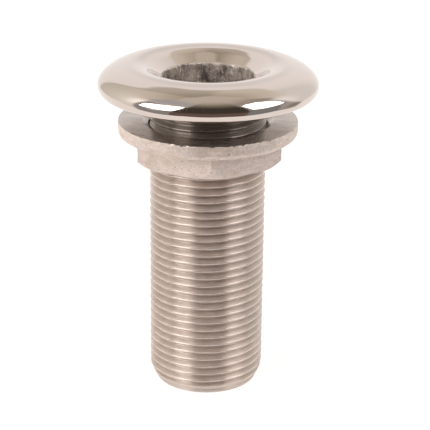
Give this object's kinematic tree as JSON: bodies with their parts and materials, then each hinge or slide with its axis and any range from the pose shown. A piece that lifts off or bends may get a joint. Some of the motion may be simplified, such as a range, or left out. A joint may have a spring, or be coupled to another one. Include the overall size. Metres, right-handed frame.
{
  "type": "thru hull fitting",
  "caption": "Mushroom-head thru hull fitting in cast stainless steel: polished head, threaded barrel with an open passage, and a flanged hex nut that screws along it.",
  "frame": {"origin": "on the barrel's axis at its lower end face, on which the fitting stands", "axes": "+Z along the barrel's axis, from its lower end towards the head; +X to the right as the fitting is seen from its front"},
  "size_m": [0.0624, 0.0624, 0.0957],
  "materials": {
    "polished_casting": "mirror-polished head, turned thread, rough-cast passage",
    "cast_nut": "satin cast, with a machined clamping face"
  },
  "bodies": {
    "fitting": {"thru_hull_casting": "polished_casting"},
    "nut_slider": {"nut_flange": "cast_nut"},
    "nut": {"nut_hexagon": "cast_nut"}
  },
  "joints": [
    {"name": "nut_travel", "type": "slide", "parent": "fitting", "child": "nut_slider", "axis": [0, 0, 1], "range_m": [-0.0681, 0.0079]},
    {"name": "nut_turn", "type": "hinge", "parent": "nut_slider", "child": "nut", "pos_m": [0, 0, 0.0715], "axis": [0, 0, 1], "range_deg": [-10602, 1223]}
  ],
  "couplings": [
    {"joint": "nut_travel", "follows": "nut_turn", "m_per_rad": 0.00036749}
  ]
}
